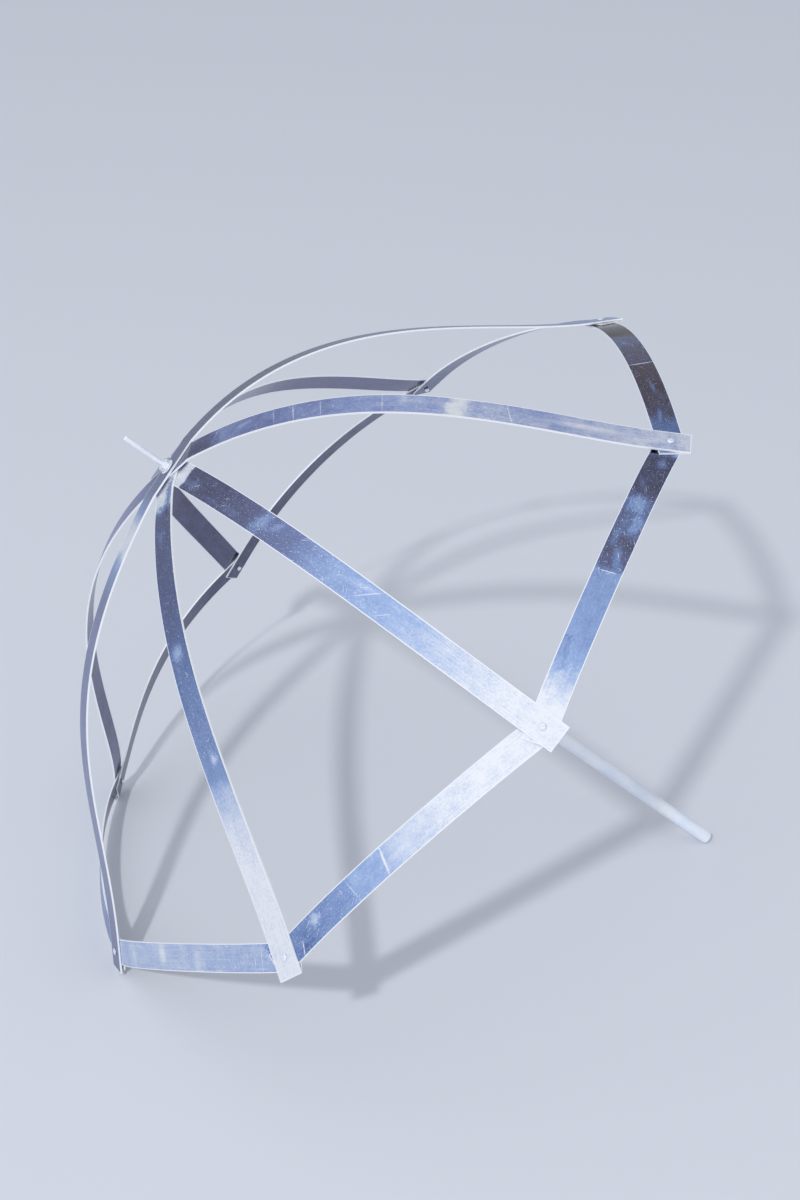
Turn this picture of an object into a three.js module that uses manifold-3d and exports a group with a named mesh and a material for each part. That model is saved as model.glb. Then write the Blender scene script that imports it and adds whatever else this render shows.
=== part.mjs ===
// Umbrella skeleton with no cover, lying on two rib tips and the end of its shaft. Millimetres, +Z up.
// It is first built standing, with the dome's axis upright, and laid down at the end.
import * as THREE from "three";
import { mergeVertices } from "three/addons/utils/BufferGeometryUtils.js";
import Module from "manifold-3d";

const wasm = await Module();
wasm.setup();

// Stock that it is made from
const barWidth = 30;
const barThick = 2;
const shaftRadius = 8;
const spikeRadius = 3;
const gap = 0.3; // left between pieces that touch
const layer = barThick + gap; // from the middle of one bar to the next in a stack

// Dome
const rimRadius = 460; // from the dome's axis to the rivets
const domeHeight = 305.5; // hub above the plane of the rivets
const hubTilt = 6; // degrees that the hub and the shaft lean from the dome's own axis
const hubTiltTurn = -120; // degrees round the axis, the way that the top of the hub leans
const hubFlat = 37; // each rib is flat this far from the axis, and creased there
const hubEase = 0.45; // share of a rib over which it comes out of its layer at the hub
const tipLength = 21.5; // rib end past its rivet
const tipFlat = 18; // each rib is straight this far before its rivet
const ribSteps = 48;

// Each rib as it was bent by hand. turn is in degrees off its eighth, and spread and lift are how far
// its rivet lies outside the rim's circle and above its plane. crease and slope are in degrees, at the
// hub and at the rim, and the pulls say how far each one holds, as a share of the rim's radius.
// rimBar is the bar from this rib to the next: how far its ends hold, and how many degrees they skew.
const ribs = [
  { name: "a", turn: -0.3, spread: -2, lift: -1, crease: 9, slope: 48, hubPull: 0.483, rimPull: 0.37,
    rimBar: { startPull: 0.13, endPull: 0.228, startSkew: 0, endSkew: -1.5 } },
  { name: "b", turn: -0.1, spread: 7, lift: 0, crease: 10.5, slope: 40.5, hubPull: 0.433, rimPull: 0.28,
    rimBar: { startPull: 0.098, endPull: 0.13, startSkew: 1.5, endSkew: -0.5 } },
  { name: "c", turn: 0, spread: -1.5, lift: -1, crease: 6, slope: 45.5, hubPull: 0.576, rimPull: 0.424,
    rimBar: { startPull: 0.163, endPull: 0.207, startSkew: 0, endSkew: 1 } },
  { name: "d", turn: -0.4, spread: -6, lift: -2.5, crease: 1, slope: 40, hubPull: 0.528, rimPull: 0.25,
    rimBar: { startPull: 0.163, endPull: 0.304, startSkew: -3, endSkew: 2 } },
  { name: "e", turn: 0, spread: -1, lift: 2, crease: 7, slope: 44, hubPull: 0.483, rimPull: 0.376,
    rimBar: { startPull: 0.185, endPull: 0.261, startSkew: -2, endSkew: 2.5 } },
  { name: "f", turn: -0.8, spread: 2, lift: 1.5, crease: 12, slope: 43, hubPull: 0.441, rimPull: 0.326,
    rimBar: { startPull: 0.25, endPull: 0.141, startSkew: -4, endSkew: 0.5 } },
  { name: "g", turn: 0.5, spread: 3.5, lift: 3, crease: 6.5, slope: 42.5, hubPull: 0.467, rimPull: 0.337,
    rimBar: { startPull: 0.25, endPull: 0.152, startSkew: 4, endSkew: -1 } },
  { name: "h", turn: 1.3, spread: -7, lift: -0.5, crease: 13, slope: 47, hubPull: 0.496, rimPull: 0.322,
    rimBar: { startPull: 0.13, endPull: 0.13, startSkew: -1, endSkew: 0 } },
];
const hubOrder = ["c", "d", "b", "a"]; // first ribs of the crossing bars, outermost bar first
const footRibs = [ribs[2], ribs[3]]; // the two whose tips rest on the floor

// Rim bars
const rimStub = 17; // end of a rim bar past its rivet
const rimFlat = 22; // each is flat this far from its rivets
const rimSteps = 32;

// Blind rivets: a domed head outside, a round set tail inside
const rivetRadius = 2;
const rivetHead = { radius: 4, rim: 0.4, high: 1.7, dimpleRadius: 1.3, dimpleDeep: 0.8 };
const rivetTail = { radius: 3.2, high: 4.2, roundHigh: 1.7, lipHigh: 0.8 };
const rivetTailTurn = 70; // degrees of the tail's round end
const holeRadius = rivetRadius + gap;

// Hub hardware and shaft, measured along the shaft from the middle of the outermost bar
const spikeLength = 60;
const spikeSunk = 22; // spike inside the shaft
const spikeChamfer = 1;
const washerRadius = 9;
const washerHigh = 1.6;
const nutAcross = 13;
const nutHigh = 5;
const shaftLength = 835;
const shaftRound = 3; // rounding of the shaft's end
const spikeHole = spikeRadius + gap;

const aluminium = { color: 0xbccbe8, roughness: 0.22, metalness: 1 };
const rivetMetal = { color: 0xc9d4ea, roughness: 0.35, metalness: 1 };
const shaftMetal = { color: 0xdde6f5, roughness: 0.5, metalness: 1 };
const steel = { color: 0xb4c2da, roughness: 0.3, metalness: 1 };

const roundSteps = 4; // facets of each rounded edge
const deg = Math.PI / 180;
const up = new THREE.Vector3(0, 0, 1);

const umbrella = new THREE.Group();
umbrella.name = "umbrella_frame";

function addMesh(parent, name, geometry, finish) {
  const mesh = new THREE.Mesh(geometry, new THREE.MeshStandardMaterial(finish));
  mesh.name = name;
  parent.add(mesh);
  return mesh;
}

function solidOf(geometry) {
  const bare = geometry.index ? geometry.toNonIndexed() : geometry.clone();
  bare.deleteAttribute("normal");
  bare.deleteAttribute("uv");
  const merged = mergeVertices(bare, 1e-4);
  return new wasm.Manifold(
    new wasm.Mesh({
      numProp: 3,
      vertProperties: new Float32Array(merged.attributes.position.array),
      triVerts: new Uint32Array(merged.index.array),
    }),
  );
}

function geometryOf(solid) {
  const mesh = solid.getMesh();
  const geometry = new THREE.BufferGeometry();
  geometry.setAttribute("position", new THREE.BufferAttribute(mesh.vertProperties, 3));
  geometry.setIndex(new THREE.BufferAttribute(mesh.triVerts, 1));
  geometry.computeVertexNormals();
  return geometry;
}

// A turned piece on the Z axis, from its outline as pairs of radius and height.
function turned(outline, segments) {
  const profile = outline.map(([r, z]) => new THREE.Vector2(r, z));
  return geometryOf(solidOf(new THREE.LatheGeometry(profile, segments).rotateX(Math.PI / 2)));
}

// Points of a quarter or shorter turn on an ellipse, as pairs of radius and height.
function roundOff(centre, radii, from, to) {
  return Array.from({ length: roundSteps }, (_, i) => {
    const angle = THREE.MathUtils.lerp(from, to, (i + 1) / roundSteps) * deg;
    return [centre[0] + radii[0] * Math.cos(angle), centre[1] + radii[1] * Math.sin(angle)];
  });
}

// A drill as long as the bar is wide, through a point.
function drill(radius, at, direction) {
  const bit = new THREE.CylinderGeometry(radius, radius, barWidth, 24);
  const turn = new THREE.Quaternion().setFromUnitVectors(new THREE.Vector3(0, 1, 0), direction);
  return solidOf(bit.applyQuaternion(turn).translate(at.x, at.y, at.z));
}

// A flat bar through frames, each with its middle point, its width direction and its outer face direction.
function flatBar(frames, drills) {
  const position = [];
  const index = [];
  for (const { at, across, out } of frames) {
    for (const [side, face] of [[1, 1], [-1, 1], [-1, -1], [1, -1]]) {
      const corner = at.clone().addScaledVector(across, (side * barWidth) / 2);
      position.push(...corner.addScaledVector(out, (face * barThick) / 2));
    }
  }
  for (let i = 0; i < frames.length - 1; i++) {
    for (let j = 0; j < 4; j++) {
      const a = 4 * i + j;
      const b = 4 * i + ((j + 1) % 4);
      index.push(a, b, b + 4, a, b + 4, a + 4);
    }
  }
  const last = 4 * (frames.length - 1);
  index.push(0, 2, 1, 0, 3, 2);
  index.push(last, last + 1, last + 2, last, last + 2, last + 3);
  const geometry = new THREE.BufferGeometry();
  geometry.setAttribute("position", new THREE.Float32BufferAttribute(position, 3));
  geometry.setIndex(index);
  return geometryOf(drills.reduce((solid, bit) => solid.subtract(bit), solidOf(geometry)));
}

// The hub's plane, where the four long bars cross
const hubAt = new THREE.Vector3(0, 0, domeHeight);
const leanWay = new THREE.Vector3(Math.cos(hubTiltTurn * deg), Math.sin(hubTiltTurn * deg), 0);
const hubOut = up.clone().multiplyScalar(Math.cos(hubTilt * deg));
hubOut.addScaledVector(leanWay, Math.sin(hubTilt * deg));

// Each rib lies in an upright plane through the dome's axis, and in its own face directions at both ends.
ribs.forEach((rib, i) => {
  const angle = (-45 * i + rib.turn) * deg;
  const away = new THREE.Vector3(Math.cos(angle), Math.sin(angle), 0);
  rib.side = up.clone().cross(away);
  const downhill = (slope) =>
    away.clone().multiplyScalar(Math.cos(slope)).addScaledVector(up, -Math.sin(slope));
  const hubSlope = Math.atan2(hubOut.dot(away), hubOut.dot(up));
  rib.hubAlong = downhill(hubSlope);
  rib.hubSide = hubOut.clone().cross(rib.hubAlong).normalize();
  rib.rimAlong = downhill(rib.slope * deg);
  rib.rimOut = rib.rimAlong.clone().cross(rib.side);
  rib.rivetAt = away.clone().multiplyScalar(rimRadius + rib.spread).addScaledVector(up, rib.lift);
  rib.tipAt = rib.rivetAt.clone().addScaledVector(rib.rimAlong, tipLength);
  const start = hubAt.clone().addScaledVector(rib.hubAlong, hubFlat);
  const end = rib.rivetAt.clone().addScaledVector(rib.rimAlong, -tipFlat);
  rib.curve = new THREE.CubicBezierCurve3(
    start,
    start.clone().addScaledVector(downhill(hubSlope + rib.crease * deg), rib.hubPull * rimRadius),
    end.clone().addScaledVector(rib.rimAlong, tipFlat - rib.rimPull * rimRadius),
    end,
  );
});

// Frames of one rib from its crease to its tip, for a bar that lies this deep in the hub's stack.
function ribFrames(rib, depth) {
  const frames = [];
  for (let i = 0; i <= ribSteps; i++) {
    const t = i / ribSteps;
    const along = rib.curve.getTangent(t);
    const across = rib.hubSide.clone().lerp(rib.side, t).projectOnPlane(along).normalize();
    const out = along.clone().cross(across);
    if (i === 0) out.add(hubOut).normalize();
    const sunk = depth * (1 - THREE.MathUtils.smoothstep(t, 0, hubEase));
    frames.push({ at: rib.curve.getPoint(t).addScaledVector(out, -sunk), across, out });
  }
  frames.push({ at: rib.tipAt, across: rib.side, out: rib.rimOut });
  return frames;
}

// The four long bars, each bent over the hub from one corner to the opposite one
ribs.slice(0, 4).forEach((near, i) => {
  const far = ribs[i + 4];
  const depth = hubOrder.indexOf(near.name) * layer;
  const middle = {
    at: hubAt.clone().addScaledVector(hubOut, -depth),
    across: near.hubSide.clone().sub(far.hubSide).normalize(),
    out: hubOut,
  };
  const farFrames = ribFrames(far, depth).reverse();
  farFrames.forEach((frame) => (frame.across = frame.across.clone().negate()));
  const drills = [
    drill(spikeHole, middle.at, hubOut),
    drill(holeRadius, near.rivetAt, near.rimOut),
    drill(holeRadius, far.rivetAt, far.rimOut),
  ];
  const bar = flatBar([...farFrames, middle, ...ribFrames(near, depth)], drills);
  addMesh(umbrella, `rib_bar_${near.name}${far.name}`, bar, aluminium);
});

// The eight rim bars, each the inmost layer at its first rib and the middle layer at the next
ribs.forEach((from, i) => {
  const to = ribs[(i + 1) % ribs.length];
  const { startPull, endPull, startSkew, endSkew } = from.rimBar;
  const startRivet = from.rivetAt.clone().addScaledVector(from.rimOut, -2 * layer);
  const endRivet = to.rivetAt.clone().addScaledVector(to.rimOut, -layer);
  const span = endRivet.clone().sub(startRivet);
  const lapWay = (rib, skew) =>
    span.clone().projectOnPlane(rib.rimOut).normalize().applyAxisAngle(rib.rimOut, skew * deg);
  const startAlong = lapWay(from, startSkew);
  const endAlong = lapWay(to, endSkew);
  const startSide = from.rimOut.clone().cross(startAlong);
  const endSide = to.rimOut.clone().cross(endAlong);
  const start = startRivet.clone().addScaledVector(startAlong, rimFlat);
  const end = endRivet.clone().addScaledVector(endAlong, -rimFlat);
  const curve = new THREE.CubicBezierCurve3(
    start,
    start.clone().addScaledVector(startAlong, startPull * rimRadius),
    end.clone().addScaledVector(endAlong, -endPull * rimRadius),
    end,
  );
  const firstEnd = startRivet.clone().addScaledVector(startAlong, -rimStub);
  const lastEnd = endRivet.clone().addScaledVector(endAlong, rimStub);
  const frames = [{ at: firstEnd, across: startSide, out: from.rimOut }];
  for (let j = 0; j <= rimSteps; j++) {
    const along = curve.getTangent(j / rimSteps);
    const across = startSide.clone().lerp(endSide, j / rimSteps).projectOnPlane(along).normalize();
    frames.push({ at: curve.getPoint(j / rimSteps), across, out: along.clone().cross(across) });
  }
  frames.push({ at: lastEnd, across: endSide, out: to.rimOut });
  const drills = [drill(holeRadius, startRivet, from.rimOut), drill(holeRadius, endRivet, to.rimOut)];
  addMesh(umbrella, `rim_bar_${from.name}${to.name}`, flatBar(frames, drills), aluminium);
});

// One rivet at each corner, through all three layers
const headUnder = barThick / 2 + gap;
const headTop = headUnder + rivetHead.high;
const tailTop = -(2 * layer + barThick / 2 + gap);
const tailRound = tailTop - rivetTail.high + rivetTail.roundHigh;
const rivetOutline = [
  [0, tailRound - rivetTail.roundHigh],
  ...roundOff([0, tailRound], [rivetTail.radius, rivetTail.roundHigh], -90, rivetTailTurn - 90),
  [rivetTail.radius, tailTop - rivetTail.lipHigh],
  [rivetRadius + rivetHead.rim, tailTop],
  [rivetRadius, tailTop],
  [rivetRadius, headUnder],
  [rivetHead.radius, headUnder],
  [rivetHead.radius, headUnder + rivetHead.rim],
  ...roundOff(
    [rivetHead.dimpleRadius, headUnder + rivetHead.rim],
    [rivetHead.radius - rivetHead.dimpleRadius, rivetHead.high - rivetHead.rim],
    0, 90,
  ),
  [rivetHead.dimpleRadius, headTop - rivetHead.dimpleDeep], // left by the pulled pin
  [0, headTop - rivetHead.dimpleDeep],
];
const rivetGeometry = turned(rivetOutline, 16);
for (const rib of ribs) {
  const rivet = addMesh(umbrella, `rivet_${rib.name}`, rivetGeometry, rivetMetal);
  rivet.position.copy(rib.rivetAt);
  rivet.quaternion.setFromUnitVectors(up, rib.rimOut);
}

// Hub hardware and shaft, on the leaning axis
const hub = new THREE.Group();
hub.position.copy(hubAt);
hub.quaternion.setFromUnitVectors(up, hubOut);
umbrella.add(hub);

const washerUnder = barThick / 2 + gap;
const washerTop = washerUnder + washerHigh;
const washerOutline = [
  [spikeHole, washerUnder],
  [washerRadius, washerUnder],
  [washerRadius, washerTop],
  [spikeHole, washerTop],
  [spikeHole, washerUnder],
];
addMesh(hub, "hub_washer", turned(washerOutline, 40), steel);

const nutShape = new THREE.Shape();
const nutCorner = nutAcross / 2 / Math.cos(30 * deg);
for (let i = 0; i < 6; i++) {
  const x = nutCorner * Math.cos((30 + 60 * i) * deg);
  const y = nutCorner * Math.sin((30 + 60 * i) * deg);
  if (i === 0) nutShape.moveTo(x, y);
  else nutShape.lineTo(x, y);
}
nutShape.closePath();
nutShape.holes.push(new THREE.Path().absarc(0, 0, spikeHole, 0, 2 * Math.PI, true));
const nutUpright = { depth: nutHigh, bevelEnabled: false, curveSegments: 24 };
const nutBlank = new THREE.ExtrudeGeometry(nutShape, nutUpright).translate(0, 0, washerTop + gap);
addMesh(hub, "hub_nut", geometryOf(solidOf(nutBlank)), steel);

const shaftTop = -(3 * layer + barThick / 2 + gap);
const spikeFoot = shaftTop - spikeSunk;
const spikeOutline = [
  [0, spikeFoot],
  [spikeRadius, spikeFoot],
  [spikeRadius, spikeLength - spikeChamfer],
  [spikeRadius - spikeChamfer, spikeLength],
  [0, spikeLength],
];
addMesh(hub, "spike_rod", turned(spikeOutline, 32), steel);

const shaftOutline = [
  [0, -shaftLength],
  [shaftRadius - shaftRound, -shaftLength],
  ...roundOff([shaftRadius - shaftRound, shaftRound - shaftLength], [shaftRound, shaftRound], -90, 0),
  [shaftRadius, shaftTop],
  [spikeHole, shaftTop],
  [spikeHole, spikeFoot - gap],
  [0, spikeFoot - gap],
];
const shaft = addMesh(hub, "shaft", turned(shaftOutline, 48), shaftMetal);

// World points of a mesh, or only those within a bar's width of one place.
function pointsOf(mesh, near) {
  const position = mesh.geometry.attributes.position;
  const points = Array.from({ length: position.count }, (_, i) =>
    new THREE.Vector3().fromBufferAttribute(position, i).applyMatrix4(mesh.matrixWorld));
  return near ? points.filter((point) => point.distanceTo(near) < barWidth) : points;
}

// The plane that the two foot ribs' tips and the shaft's end rest on, found by letting each settle.
umbrella.updateMatrixWorld(true);
const ribBars = umbrella.children.filter((child) => child.name.startsWith("rib_bar"));
const feet = footRibs.map((rib) => ribBars.flatMap((bar) => pointsOf(bar, rib.tipAt)));
feet.push(pointsOf(shaft));
const shaftEnd = hubAt.clone().addScaledVector(hubOut, -shaftLength);
let touching = [...footRibs.map((rib) => rib.tipAt), shaftEnd];
let floorUp = up;
for (let i = 0; i < 6; i++) {
  floorUp = new THREE.Plane().setFromCoplanarPoints(...touching).normal;
  if (floorUp.dot(hubAt) < floorUp.dot(shaftEnd)) floorUp.negate();
  touching = feet.map((points) => points.reduce((low, p) => (p.dot(floorUp) < low.dot(floorUp) ? p : low)));
}

// Lay it down on that plane: the shaft points along +X, and the origin is under the middle of the box.
const shaftWay = hubOut.clone().negate().projectOnPlane(floorUp).normalize();
const sideWay = floorUp.clone().cross(shaftWay);
umbrella.quaternion.setFromRotationMatrix(
  new THREE.Matrix4().makeBasis(shaftWay, sideWay, floorUp).transpose(),
);
const lying = new THREE.Group();
lying.add(umbrella);
lying.updateMatrixWorld(true);
const box = new THREE.Box3().setFromObject(umbrella, true);
umbrella.position.set(-(box.min.x + box.max.x) / 2, -(box.min.y + box.max.y) / 2, -box.min.z);

export default lying;
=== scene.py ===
import math
from functools import partial
import bmesh
import bpy
import numpy as np
from mathutils import Matrix, Vector


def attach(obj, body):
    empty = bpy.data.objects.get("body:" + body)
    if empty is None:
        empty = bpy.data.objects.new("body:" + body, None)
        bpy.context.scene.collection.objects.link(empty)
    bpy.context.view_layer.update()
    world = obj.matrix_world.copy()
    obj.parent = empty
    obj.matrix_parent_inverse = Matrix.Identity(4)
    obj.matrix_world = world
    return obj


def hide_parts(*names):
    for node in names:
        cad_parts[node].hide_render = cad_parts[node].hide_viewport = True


# Umbrella skeleton with no cover: bright rolled aluminium flat bar, blind rivets and a satin shaft.
# Lengths are in metres where nothing else is said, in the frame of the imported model.

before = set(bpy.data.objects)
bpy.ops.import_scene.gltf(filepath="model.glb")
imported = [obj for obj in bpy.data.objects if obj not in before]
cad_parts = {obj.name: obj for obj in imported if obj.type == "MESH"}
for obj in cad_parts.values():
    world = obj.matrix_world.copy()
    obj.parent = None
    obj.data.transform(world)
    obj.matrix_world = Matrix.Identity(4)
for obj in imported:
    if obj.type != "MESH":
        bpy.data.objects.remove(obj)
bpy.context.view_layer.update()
scene = bpy.context.scene
scene.view_settings.view_transform = "Standard"
print("frame loaded:", len(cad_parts), "nodes")

corners = "abcdefgh"
mm = 0.001


# small helpers

def linear(hexColour):
    channels = [int(hexColour[i:i + 2], 16) / 255 for i in (1, 3, 5)]
    return [c / 12.92 if c <= 0.04045 else ((c + 0.055) / 1.055) ** 2.4 for c in channels] + [1.0]


def selectOnly(obj):
    if bpy.context.object and bpy.context.object.mode != "OBJECT":
        bpy.ops.object.mode_set(mode="OBJECT")
    bpy.ops.object.select_all(action="DESELECT")
    obj.select_set(True)
    bpy.context.view_layer.objects.active = obj


def applyModifier(piece, kind, **settings):
    selectOnly(piece)
    modifier = piece.modifiers.new(kind, kind)
    for key, value in settings.items():
        setattr(modifier, key, value)
    bpy.ops.object.modifier_apply(modifier=modifier.name)


# Adds a node with its settings and links. Sockets are given by name, or in order, as a value, as the
# output to link, or as a node whose first output is linked. Stops are a colour ramp's places and colours.
def addNode(tree, kind, sockets=(), stops=(), **properties):
    node = tree.nodes.new("ShaderNode" + kind)
    for key, value in properties.items():
        setattr(node, key, value)
    for _ in stops[2:]:
        node.color_ramp.elements.new(0.5)
    for i, (at, colour) in enumerate(stops):
        node.color_ramp.elements[i].position = at
        node.color_ramp.elements[i].color = colour
    for key, value in sockets.items() if isinstance(sockets, dict) else enumerate(sockets):
        value = value.outputs[0] if isinstance(value, bpy.types.Node) else value
        if isinstance(value, bpy.types.NodeSocket):
            tree.links.new(value, node.inputs[key])
        else:
            node.inputs[key].default_value = value
    return node


def newMaterial(name):
    material = bpy.data.materials.new(name)
    material.use_nodes = True
    return material, material.node_tree, material.node_tree.nodes["Principled BSDF"]


# camera at the photograph's place

cameraView = {
    "at": (-0.2381, -2.0893, 1.5015),
    "forward": (0.09452, 0.87390, -0.47682),
    "up": (0.04440, 0.47479, 0.87898),
    "lens": 62.6,
    "sensor": 36.0,
}


def makeCamera(look):
    data = bpy.data.cameras.new("photoCamera")
    data.lens = look["lens"]
    data.sensor_width = look["sensor"]
    camera = bpy.data.objects.new("photoCamera", data)
    scene.collection.objects.link(camera)
    back = -Vector(look["forward"]).normalized()
    right = Vector(look["up"]).cross(back).normalized()
    turn = Matrix((right, back.cross(right), back)).transposed()
    camera.matrix_world = Matrix.Translation(look["at"]) @ turn.to_4x4()
    scene.camera = camera


makeCamera(cameraView)
print("camera placed")


# studio: pale floor, one small soft lamp for the shadow and a plain surround that is brighter over
# the camera's left shoulder, so that the bright metal shows a white side and a duller one

studio = {
    "floorSize": 50.0,
    "floorColour": "#d3d6dd",
    "floorRough": 0.9,
    "floorShine": 0.1,
    "surround": "#e9eef6",
    "brightWay": (-143, 48),        # degrees round from +Y towards +X, and up
    "reach": (0.10, 0.95),          # cosines between which the surround brightens towards that side
    "levels": (0.56, 1.08),         # its level far from it and near to it
    "lampWay": (-155, 39),
    "lampAway": 10.0,
    "lampSize": 0.45,
    "lampPower": 420.0,
    "aim": (-0.05, 0.0, 0.3),
}


def wayTo(azimuth, elevation):
    a, e = math.radians(azimuth), math.radians(elevation)
    return Vector((math.sin(a) * math.cos(e), math.cos(a) * math.cos(e), math.sin(e)))


def makeStudio(look):
    bpy.ops.mesh.primitive_plane_add(size=look["floorSize"], location=(0, 0, 0))
    floor = bpy.context.object
    floor.name = "studio_floor"
    material, _, shader = newMaterial("mattPaintedFloor")
    shader.inputs["Base Color"].default_value = linear(look["floorColour"])
    shader.inputs["Roughness"].default_value = look["floorRough"]
    shader.inputs["Specular IOR Level"].default_value = look["floorShine"]
    floor.data.materials.append(material)

    lamp = bpy.data.lights.new("shadowLamp", "AREA")
    lamp.shape = "DISK"
    lamp.size = look["lampSize"]
    lamp.energy = look["lampPower"]
    holder = bpy.data.objects.new("shadowLamp", lamp)
    scene.collection.objects.link(holder)
    way = wayTo(*look["lampWay"])
    holder.location = Vector(look["aim"]) + way * look["lampAway"]
    holder.rotation_euler = way.to_track_quat("Z", "Y").to_euler()
    holder.visible_glossy = False   # its mirror image would burn out whole bars

    world = bpy.data.worlds.new("studioSurround")
    world.use_nodes = True
    scene.world = world
    tree = world.node_tree
    where = addNode(tree, "TexCoord").outputs["Generated"]
    nearness = addNode(tree, "VectorMath", (where, wayTo(*look["brightWay"])), operation="DOT_PRODUCT")
    level = addNode(tree, "MapRange", (nearness.outputs["Value"], *look["reach"], *look["levels"]),
                    interpolation_type="SMOOTHSTEP")
    back = tree.nodes["Background"]
    back.inputs["Color"].default_value = linear(look["surround"])
    tree.links.new(level.outputs["Result"], back.inputs["Strength"])


makeStudio(studio)
print("studio set")


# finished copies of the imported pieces: merged, with eased edges and smooth faces

finishing = {
    "mergeWithin": 0.00002,
    "flatWithin": 0.2,      # degrees up to which neighbouring triangles become one face
    "easeOver": 40,         # degrees of an edge from which it is eased
}


def copyOf(node, name):
    selectOnly(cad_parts[node])
    bpy.ops.object.duplicate()
    piece = bpy.context.object
    piece.name = piece.data.name = name
    piece.data.materials.clear()
    for key in list(piece.keys()):
        del piece[key]
    piece.parent = None
    bpy.ops.object.mode_set(mode="EDIT")
    bpy.ops.mesh.select_all(action="SELECT")
    bpy.ops.mesh.remove_doubles(threshold=finishing["mergeWithin"])
    bpy.ops.object.mode_set(mode="OBJECT")
    return piece


def easeEdges(piece, width, smoothAngle):
    selectOnly(piece)
    bpy.ops.object.mode_set(mode="EDIT")
    bpy.ops.mesh.select_all(action="SELECT")
    bpy.ops.mesh.dissolve_limited(angle_limit=math.radians(finishing["flatWithin"]))
    bpy.ops.object.mode_set(mode="OBJECT")
    applyModifier(piece, "BEVEL", width=width, segments=2, limit_method="ANGLE",
                  angle_limit=math.radians(finishing["easeOver"]))
    bpy.ops.object.shade_smooth_by_angle(angle=math.radians(smoothAngle))
    applyModifier(piece, "WEIGHTED_NORMAL", mode="FACE_AREA", weight=100, keep_sharp=True)


def putIn(piece, node, material):
    piece.data.materials.append(material)
    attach(piece, "root")
    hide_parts(node)


# bars

barStock = {
    "width": 0.030,
    "thick": 0.002,
    "ease": 0.00025,
    "creaseAngle": 5,       # a bend sharper than this in degrees reads as a crease
    "cornerAngle": 1.0,     # radians; the edges between two sides of a bar are sharper
    "endReach": 0.06,       # a bar's first end is within this of its first rivet
    "shortChain": 6,        # a chain of more points than this is one of the long edges
}


# The four long edges of a bar's merged mesh, each as points from its first corner to its last.
def longEdges(piece, startPoint):
    mesh = bmesh.new()
    mesh.from_mesh(piece.data)
    sharp = {edge for edge in mesh.edges if edge.calc_face_angle(0) > barStock["cornerAngle"]}
    at = {vert: [edge for edge in vert.link_edges if edge in sharp] for vert in mesh.verts}
    chains = []
    for vert in mesh.verts:
        if len(at[vert]) != 3 or (vert.co - startPoint).length > barStock["endReach"]:
            continue
        for edge in at[vert]:
            chain, step = [vert], edge
            while True:
                chain.append(step.other_vert(chain[-1]))
                if len(at[chain[-1]]) == 3:
                    break
                step = next(e for e in at[chain[-1]] if e is not step)
            if len(chain) > barStock["shortChain"]:
                chains.append(np.array([v.co for v in chain]))
    mesh.free()
    return chains


# Distance from each point to a polyline, and how far along it that place is.
def nearestOn(line, points):
    a, b = line[:-1], line[1:]
    step = b - a
    length = np.linalg.norm(step, axis=1)
    share = np.clip(((points[:, None] - a) * step).sum(2) / length ** 2, 0, 1)
    away = np.linalg.norm(points[:, None] - a - share[..., None] * step, axis=2)
    best = away.argmin(1)
    rows = np.arange(len(points))
    along = np.concatenate([[0], length.cumsum()])[best] + share[rows, best] * length[best]
    return away[rows, best], along


# UV map "run" in metres: how far along the bar from its first end, and how far across from its middle.
# The attribute "outerSide" is 1 on the face that looks out of the dome and 0 on the one that looks in.
def layRun(piece, chains, domeMiddle):
    first = chains[0][0]
    chains = sorted(chains, key=lambda c: np.linalg.norm(c[0] - first))   # second: through the thickness
    outward = np.concatenate(chains).mean(0) - np.array(domeMiddle)
    pairs = [sorted(pair, key=lambda c: -c[0] @ outward) for pair in (chains[:2], chains[2:])]
    (leftEdge, under), (rightEdge, _) = pairs
    facing = np.cross(leftEdge[0] - under[0], leftEdge[1] - leftEdge[0])
    if facing @ (rightEdge[0] - leftEdge[0]) > 0:
        (rightEdge, _), (leftEdge, under) = pairs
    points = np.array([v.co for v in piece.data.vertices])
    left, leftRun = nearestOn(leftEdge, points)
    right, rightRun = nearestOn(rightEdge, points)
    under, _ = nearestOn(under, points)
    run = (leftRun + rightRun) / 2
    across = (right ** 2 - left ** 2) / (2 * barStock["width"])
    side = np.clip(0.5 + (under ** 2 - left ** 2) / (2 * barStock["thick"] ** 2), 0, 1)
    layer = piece.data.uv_layers.new(name="run")
    for loop in piece.data.loops:
        layer.data[loop.index].uv = (run[loop.vertex_index], across[loop.vertex_index])
    attribute = piece.data.attributes.new("outerSide", "FLOAT", "POINT")
    attribute.data.foreach_set("value", side.astype(np.float32))
    return float(run.max())


# Tone of the metal's surface, from a painted dark reflection to a painted white highlight, with fogged and
# smudged metal between. The key names the value in a bar's look that takes the tone's place.
aluminiumTones = [
    (0.00, "darkest", "#38384c"),
    (0.25, "dark", "#686881"),
    (0.50, "middle", "#7c94c8"),
    (0.75, "pale", "#abc2eb"),
    (1.00, "palest", "#f4f5f8"),
]

# Patterns on the sheet: length and width of a patch in mm, its turn in degrees, detail and roughness.
# The real rolling lines and scratches are about 0.1 mm wide and are drawn coarser so that they show.
sheetPatterns = {
    "smudge": (34, 30, 0, 3, 0.6),
    "cloud": (17, 12, 0, 4, 0.68),
    "mottle": (3.2, 2.4, 0, 3, 0.7),
    "rolled": (90, 0.9, 0, 2, 0.6),
    "shortMarks": (14, 0.9, 28, 1, 0.5),
    "crossMarks": (11, 0.8, -62, 1, 0.5),
    "grains": (1.5, 1.3, 0, 1, 0.5),
}

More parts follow.
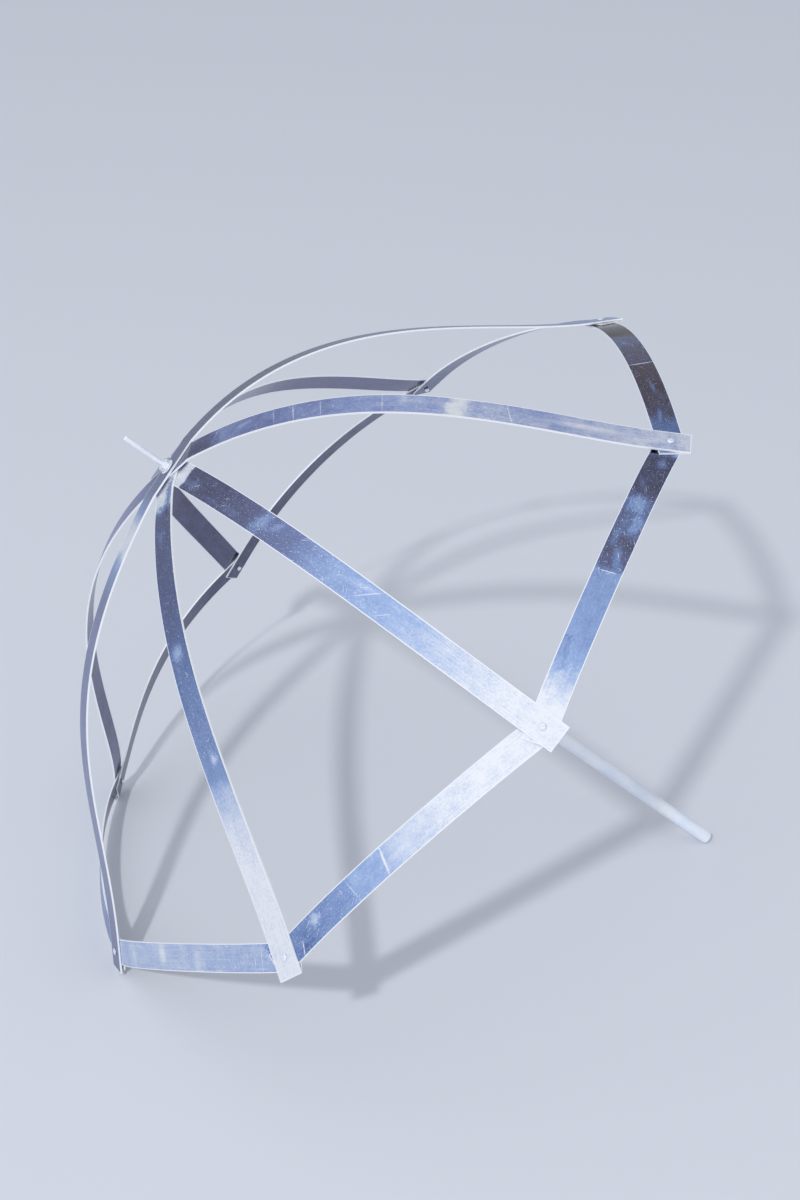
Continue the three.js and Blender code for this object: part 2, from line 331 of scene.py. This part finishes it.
# How strongly each pattern acts on a bar's tone, dullness and relief. Four values are what something
# runs from and to, and what it is turned into there.
sheetFinish = {
    "wander": 0.03,                 # metres that the border between two tones moves about by
    "smudge": 2.0,                  # times the look's cloud
    "cloud": 2.6,                   # times the look's cloud
    "mottle": 0.30,
    "rolled": 0.22,
    "hubEnds": (0.03, 0.07),        # metres from the bar's middle over which the painted hub highlight fades out
    "specksBegin": (-20, 15),       # mm about the first place of the specks over which they fade in
    "specksEnd": (-10, 10),         # and about the last, over which they fade out
    "specksElsewhere": 0.10,
    "grains": (0.66, 0.74),         # values of the pattern between which a speck or a scratch appears
    "scratches": {"shortMarks": (0.70, 0.76), "crossMarks": (0.71, 0.77)},
    "scratchLevel": 0.9,
    "torn": 2.4,                    # how ragged a smudge's outline is
    "thinMark": 4,                  # mm; a mark under this width is a crease or a scar
    "markFades": (0.45, 1.05),      # shares of half a mark's length and half its width where it fades
    "sideEdge": (0.0140, 0.0147),   # where the painted edge highlight comes in, metres across from the bar's middle line
    "endEdge": (0.0010, 0.0004),    # and metres in from the bar's end
    "dull": (0.1, 0.95, 0.17, 0.42),        # pale tone, fogged metal and painted highlight alike, is made duller
    "dullRolled": 0.16,
    "dullEdge": 0.15,
    "metallic": (0.75, 1.0, 1.0, 0.7),      # pale tone, fogged metal and painted highlight alike, is made to scatter light, and so are torn edges
    "metallicEdge": -0.4,
    "smudgeRelief": 8.0,            # times the rolling lines' relief
    "creaseRelief": 6.0,
    "reliefStrength": 0.25,
    "reliefHeight": 0.000125,
}

# Each bar's wear and its painted reflections and highlights. Along a bar, millimetres are counted from the
# end that its name gives first.
# tones: (along, level), level 0 for the darkest tone and 1 for white, blended between the stops
# marks: (along, across from the middle, length, width, turn in degrees, change of level)
#        a thin mark 90 degrees round is a crease or a scar across the bar, drawn lighter, on a crease as a
#        painted highlight; a wide one is a smudge unless its bar says it is a painted highlight
# specks: (from, to, strength) where old oxide shows as fine white specks and short scratches
plainLook = {
    "tones": [(0, 0.55), (390, 0.55)],
    "innerTone": 0.28,      # level of the face that looks into the dome: a painted dark reflection
    "hubHighlight": 0.0,        # painted highlight added to it where a rib crosses the hub and is hammered flat
    "marks": [],
    "specks": (0, 2000, 0.12),
    "cloud": 0.13,
    "seed": 0.0,
}
barLooks = {
    "rib_bar_ae": {
        "seed": 1.0,
        "hubHighlight": 0.4,
        "dark": "#706f8c",
        "middle": "#8391bb",
        "cloud": 0.08,
        # the near-white tones by corner a and over the hub are painted highlights, the dark middle partly a
        # painted reflection
        "tones": [(0, 0.99), (60, 0.98), (105, 0.92), (170, 0.82), (240, 0.73), (300, 0.64), (320, 0.56),
                  (340, 0.44), (385, 0.38), (405, 0.31), (500, 0.29), (541, 0.29), (545, 0.99), (620, 0.99),
                  (640, 0.34)],
        "specks": (230, 545, 0.60),
        "innerTone": 0.20,
        "marks": [(391, 1, 40, 22, 60, 0.26), (368, -5, 30, 10, 40, 0.18), (440, 8, 34, 9, 0, 0.14),
                  (240, -3, 38, 1.2, 40, 0.22), (215, 5, 24, 1.0, 40, 0.18), (520, 4, 26, 14, 30, 0.18),
                  (255, -6, 60, 9, 10, 0.08), (470, 9, 40, 6, 0, 0.14)],
    },
    "rib_bar_bf": {
        "seed": 2.0,
        "hubHighlight": 0.4,
        "dark": "#7b7894",
        "middle": "#8093c3",
        "cloud": 0.06,
        # the near-white tones by corner b and over the hub are painted highlights
        "tones": [(0, 0.99), (115, 0.98), (165, 0.92), (204, 0.80), (216, 0.64), (300, 0.56), (350, 0.50),
                  (375, 0.42), (445, 0.35), (529, 0.32), (533, 0.97), (615, 0.94), (635, 0.34)],
        "specks": (230, 530, 0.46),
        "marks": [(552, -9, 50, 12, 0, -0.34), (495, 4, 24, 14, 0, 0.20), (355, 1, 22, 20, 0, 0.30),
                  (234, -5, 18, 12, 0, 0.26)],
    },
    "rib_bar_cg": {
        "seed": 3.0,
        "hubHighlight": 0.4,
        "middle": "#8890b4",    # this rib is greyer than the rest: a painted reflection
        "tones": [(0, 0.44), (150, 0.52), (360, 0.50), (430, 0.50), (468, 0.66), (488, 0.95), (515, 0.97),
                  (535, 0.74), (565, 0.48), (640, 0.38), (760, 0.28), (1000, 0.45), (1196, 0.80)],
        "specks": (560, 1000, 0.30),
        "cloud": 0.09,
    },
    "rib_bar_dh": {
        "seed": 4.0,
        "hubHighlight": 0.4,
        "middle": "#8c96c8",
        "pale": "#aebff0",
        "tones": [(0, 0.55), (300, 0.50), (560, 0.42), (615, 0.30), (655, 0.33), (668, 0.64), (720, 0.57),
                  (800, 0.68), (870, 0.80), (926, 0.82), (932, 0.99), (942, 0.99), (950, 0.85),
                  (1010, 0.80), (1183, 0.91)],
        "specks": (600, 830, 0.35),
        # the thin marks are creases drawn as painted highlight lines, and the long wide mark at 1072 is a
        # painted highlight streak
        "marks": [(737, 0, 42, 1.8, 103, 0.22), (760, 0, 42, 1.8, 102, 0.26), (791, 0, 42, 1.8, 101, 0.20),
                  (858, 0, 42, 1.5, 98, 0.14), (992, 0, 42, 1.8, 106, 0.16), (700, 4, 24, 10, 20, 0.20),
                  (662, 0, 40, 1.4, 80, 0.25), (1072, 1, 95, 10, 2, 0.11)],
    },
    "rim_bar_ab": {
        "seed": 5.0,
        "cloud": 0.10,
        # the near-white tones by corner a are a painted highlight
        "tones": [(0, 0.99), (110, 0.98), (150, 0.93), (190, 0.87), (214, 0.82), (222, 0.76), (262, 0.72),
                  (270, 0.62), (315, 0.58), (340, 0.54), (365, 0.64), (390, 0.66)],
        "specks": (262, 372, 0.50),
        "marks": [(220, 0, 40, 3.4, 76, 0.20), (265, 0, 36, 2.2, 96, 0.14), (318, -6, 18, 14, 0, 0.28),
                  (347, 8, 18, 2.5, 60, 0.45), (200, 2, 30, 20, 0, 0.04), (338, 9, 34, 7, 0, -0.10)],
    },
    "rim_bar_bc": {
        "seed": 6.0,
        "tones": [(0, 0.72), (24, 0.70), (40, 0.81), (110, 0.81), (160, 0.84), (300, 0.85), (362, 0.83),
                  (389, 0.88)],
        "specks": (0, 120, 0.16),
        "cloud": 0.07,
        "marks": [(33, -9, 30, 12, 0, -0.30), (240, -3, 26, 16, 90, 0.12), (168, 2, 28, 14, 90, 0.06),
                  (52, 0, 36, 1.4, 90, 0.14), (63, 2, 30, 1.4, 90, 0.12), (310, 0, 34, 12, 92, 0.06)],
    },
    "rim_bar_cd": {"seed": 7.0, "tones": [(0, 0.45), (200, 0.6), (388, 0.5)]},
    # the far rim bars' inner faces get their own painted dark reflection
    "rim_bar_de": {"seed": 8.0, "innerTone": 0.22},
    "rim_bar_ef": {"seed": 9.0, "innerTone": 0.22},
    "rim_bar_fg": {"seed": 10.0, "innerTone": 0.30},
    "rim_bar_gh": {
        "seed": 11.0,
        "darkest": "#1e1c22",
        "dark": "#6b5f69",      # a browner painted dark reflection than on the other bars, near black over the first 110 mm
        "cloud": 0.08,
        "tones": [(0, 0.06), (104, 0.04), (118, 0.38), (150, 0.32), (201, 0.29), (211, 0.24), (300, 0.26),
                  (332, 0.48), (383, 0.56)],
        "specks": (120, 340, 0.60),
        "marks": [(206, 0, 44, 2.8, 103, 0.68), (262, 1, 34, 5, 4, 0.22), (318, -2, 26, 5, -6, 0.20),
                  (140, -4, 24, 12, 30, 0.10)],
    },
    "rim_bar_ha": {
        "seed": 12.0,
        "middle": "#8095c4",
        "cloud": 0.10,
        # its dark middle is a painted dark reflection, its pale ends by corners h and a painted highlights
        "tones": [(0, 0.95), (30, 0.90), (37, 0.34), (46, 0.22), (96, 0.20), (106, 0.34), (146, 0.34),
                  (165, 0.24), (196, 0.30), (203, 0.62), (282, 0.65), (310, 0.73), (334, 0.88), (355, 0.97),
                  (397, 0.99)],
        "specks": (40, 205, 0.75),
        "marks": [(112, -1, 36, 24, 20, 0.30), (138, 7, 34, 14, -10, 0.26), (182, 3, 34, 12, 20, 0.24),
                  (201, 0, 26, 1.4, 92, 0.50), (296, -7, 40, 9, 8, -0.09), (50, 3, 18, 11, 0, 0.24),
                  (160, -8, 26, 8, 0, 0.16), (84, -6, 22, 8, 30, 0.12)],
    },
}


# Mill-bright rolled aluminium: cloudy grease smudges, fine rolling lines, handling scratches and
# hammered-flat creases give the eye a cold half mirror that breaks up from patch to patch.
# Its base colour also carries painted reflections and painted highlights along each bar and on its edges.
def rolledAluminium(name, look, length):
    material, tree, shader = newMaterial(name)
    add = partial(addNode, tree)
    split = add("SeparateXYZ", (add("UVMap", uv_map="run"),))
    along, across = split.outputs["X"], split.outputs["Y"]
    outer = add("Attribute", attribute_name="outerSide").outputs["Fac"]
    outer = add("Math", (outer, 0.5), operation="GREATER_THAN")
    layer = add("Math", (outer, look["seed"]), operation="ADD")     # so a bar's two faces differ
    sheet = add("CombineXYZ", (along, across, layer))

    field = {}
    for key, (long, wide, turn, detail, roughness) in sheetPatterns.items():
        spot = add("Mapping", {"Vector": sheet, "Scale": (long * mm, wide * mm, 1),
                               "Rotation": (0, 0, math.radians(turn))}, vector_type="TEXTURE")
        field[key] = add("TexNoise", {"Vector": spot, "Scale": 1.0, "Detail": detail,
                                      "Roughness": roughness})

    # tone along the bar, partly painted reflection and painted highlight, with the borders between tones
    # moved about by the smudges
    wander = sheetFinish["wander"]
    place = add("Math", (field["smudge"], wander, along), operation="MULTIPLY_ADD")
    place = add("Math", (place, wander / 2), operation="SUBTRACT")
    share = add("Math", (place, length), operation="DIVIDE")
    stops = [(at * mm / length, (tone, tone, tone, 1)) for at, tone in look["tones"]]
    outerTone = add("ValToRGB", (share,), stops)
    fromMiddle = add("Math", (along, length / 2), operation="SUBTRACT")
    fromMiddle = add("Math", (fromMiddle,), operation="ABSOLUTE")
    # the face that looks into the dome gets its painted dark reflection, and a painted highlight where the
    # rib crosses the hub
    hubTone = look["innerTone"] + look["hubHighlight"]
    innerTone = add("MapRange", (fromMiddle, *sheetFinish["hubEnds"], hubTone, look["innerTone"]))
    level = add("Mix", {"Factor": outer, "A": innerTone, "B": outerTone})

    amounts = {key: sheetFinish[key] * look["cloud"] for key in ("smudge", "cloud")}
    amounts.update({key: sheetFinish[key] for key in ("mottle", "rolled")})
    for key, amount in amounts.items():
        level = add("Math", (field[key], amount, level), operation="MULTIPLY_ADD")
    level = add("Math", (level, sum(amounts.values()) / 2), operation="SUBTRACT")

    # specks and short scratches of old oxide, thickest where the look says
    first, last, strength = look["specks"]
    fadeIn = [(first + away) * mm for away in sheetFinish["specksBegin"]]
    fadeOut = [(last + away) * mm for away in sheetFinish["specksEnd"]]
    begins = add("MapRange", (place, *fadeIn, 0, strength))
    ends = add("MapRange", (place, *fadeOut, 1, 0))
    zone = add("Math", (begins, ends, sheetFinish["specksElsewhere"]), operation="MULTIPLY_ADD")
    specks = add("MapRange", (field["grains"], *sheetFinish["grains"]))
    for key, between in sheetFinish["scratches"].items():
        lines = add("MapRange", (field[key], *between, 0, sheetFinish["scratchLevel"]))
        specks = add("Math", (specks, lines), operation="MAXIMUM")
    level = add("Math", (specks, zone, level), operation="MULTIPLY_ADD")

    # creases, scars, smudges and painted highlight streaks at their own places on the outer face; a crease
    # is drawn as a painted highlight line
    creases = 0.0
    torn = add("Math", (field["cloud"], field["mottle"]), operation="ADD")
    torn = add("Math", (torn, sheetFinish["torn"], -sheetFinish["torn"]), operation="MULTIPLY_ADD")
    for at, offset, long, wide, turn, change in look["marks"]:
        spot = add("Mapping", {"Vector": sheet, "Location": (at * mm, offset * mm, 0),
                               "Scale": (long * mm / 2, wide * mm / 2, 1),
                               "Rotation": (0, 0, math.radians(turn))}, vector_type="TEXTURE")
        spot = add("VectorMath", (spot, (1, 1, 0)), operation="MULTIPLY")
        away = add("VectorMath", (spot,), operation="LENGTH").outputs["Value"]
        thin = wide < sheetFinish["thinMark"]
        if not thin:
            away = add("Math", (away, torn), operation="ADD")
        mark = add("MapRange", (away, *sheetFinish["markFades"], change, 0))
        mark = add("Math", (mark, outer), operation="MULTIPLY")
        level = add("Math", (level, mark), operation="ADD")
        if thin:
            creases = add("Math", (mark, creases), operation="ADD")

    # the sheared edges and ends get a painted highlight as thin white lines, drawn up to 1 mm wide to show
    away = add("Math", (across,), operation="ABSOLUTE")
    sides = add("MapRange", (away, *sheetFinish["sideEdge"]))
    ends = add("MapRange", (fromMiddle, *[length / 2 - inFrom for inFrom in sheetFinish["endEdge"]]))
    edge = add("Math", (sides, ends), operation="MAXIMUM")
    level = add("Math", (level, edge), operation="ADD", use_clamp=True)
    colours = [(at, linear(look.get(key, tone))) for at, key, tone in aluminiumTones]
    tree.links.new(add("ValToRGB", (level,), colours).outputs["Color"], shader.inputs["Base Color"])

    dull = add("MapRange", (level, *sheetFinish["dull"]))
    dull = add("Math", (field["rolled"], sheetFinish["dullRolled"], dull), operation="MULTIPLY_ADD")
    dull = add("Math", (edge, sheetFinish["dullEdge"], dull), operation="MULTIPLY_ADD")
    dull = add("Math", (dull, sheetFinish["dullRolled"] / 2), operation="SUBTRACT")
    tree.links.new(dull.outputs[0], shader.inputs["Roughness"])
    metallic = add("MapRange", (level, *sheetFinish["metallic"]))
    metallic = add("Math", (edge, sheetFinish["metallicEdge"], metallic), operation="MULTIPLY_ADD")
    tree.links.new(metallic.outputs[0], shader.inputs["Metallic"])

    relief = add("Math", (field["smudge"], sheetFinish["smudgeRelief"], field["rolled"]),
                 operation="MULTIPLY_ADD")
    relief = add("Math", (creases, sheetFinish["creaseRelief"], relief), operation="MULTIPLY_ADD")
    bump = add("Bump", {"Height": relief, "Strength": sheetFinish["reliefStrength"],
                        "Distance": sheetFinish["reliefHeight"]})
    tree.links.new(bump.outputs["Normal"], shader.inputs["Normal"])
    return material


rivetMiddles = {}
for corner in corners:
    points = [v.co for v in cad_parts["rivet_" + corner].data.vertices]
    rivetMiddles[corner] = sum(points, Vector()) / len(points)
domeMiddle = sum(rivetMiddles.values(), Vector()) / len(corners)

for node, look in barLooks.items():
    piece = copyOf(node, node.replace("_bar_", "_strip_"))
    chains = longEdges(piece, rivetMiddles[node[-2]])   # a bar's name ends in its two corners
    easeEdges(piece, barStock["ease"], barStock["creaseAngle"])
    length = layRun(piece, chains, domeMiddle)
    print(node, "is", round(length / mm), "mm long")
    metal = rolledAluminium("rolledAluminium_" + node[-2:], {**plainLook, **look}, length)
    putIn(piece, node, metal)
print("bars done")


# rivets, hub hardware and shaft

smallStock = {
    "rivetEase": 0.00015,
    "ease": 0.0002,
    "creaseAngle": 35,      # a sharper edge than this in degrees isn't shaded smooth
    "detail": 4.0,
    "patchRoughness": 0.65,
    "toneAt": (0.36, 0.58),     # values of the pattern that are dull and pale
    "roughBetween": (0.3, 0.7),
}

# Pale and dull are the tones that the finish wanders between, rough its roughness, and grain the size
# of its patches in millimetres.
smallLooks = {
    "brightRivetAluminium": {"pale": "#f6f9fd", "dull": "#dbe3f1", "rough": (0.24, 0.40), "grain": 2.0,
                             "metallic": 0.6},
    "satinAluminium": {"pale": "#f3f7fd", "dull": "#e6eefb", "rough": (0.44, 0.54), "grain": 45.0,
                       "metallic": 0.3},
    "zincPlatedSteel": {"pale": "#f5f8fd", "dull": "#e7eef8", "rough": (0.32, 0.38), "grain": 12.0,
                        "metallic": 0.35},
}


# Rivets, shaft and hub hardware: a satin that shifts a little in tone and dullness from patch to patch.
def softMetal(name, look):
    material, tree, shader = newMaterial(name)
    where = addNode(tree, "TexCoord").outputs["Object"]
    patches = addNode(tree, "TexNoise", {"Vector": where, "Scale": 1 / (look["grain"] * mm),
                                         "Detail": smallStock["detail"],
                                         "Roughness": smallStock["patchRoughness"]})
    colours = zip(smallStock["toneAt"], (linear(look["dull"]), linear(look["pale"])))
    colour = addNode(tree, "ValToRGB", (patches,), list(colours))
    tree.links.new(colour.outputs["Color"], shader.inputs["Base Color"])
    rough = addNode(tree, "MapRange", (patches, *smallStock["roughBetween"], *look["rough"]))
    tree.links.new(rough.outputs["Result"], shader.inputs["Roughness"])
    shader.inputs["Metallic"].default_value = look["metallic"]
    return material


rivetMetal, shaftMetal, steelMetal = [softMetal(name, look) for name, look in smallLooks.items()]

for corner in corners:
    piece = copyOf("rivet_" + corner, "corner_rivet_" + corner)
    easeEdges(piece, smallStock["rivetEase"], smallStock["creaseAngle"])
    putIn(piece, "rivet_" + corner, rivetMetal)
print("rivets done")

for node, name, metal, slotName in (
    ("shaft", "satin_shaft", shaftMetal, "shaft"),
    ("spike_rod", "bright_spike", steelMetal, "steel"),
    ("hub_washer", "plated_washer", steelMetal, "steel"),
    ("hub_nut", "plated_nut", steelMetal, "steel"),
):
    piece = copyOf(node, name)
    easeEdges(piece, smallStock["ease"], smallStock["creaseAngle"])
    putIn(piece, node, metal)
print("hub and shaft done")

bpy.context.view_layer.update()
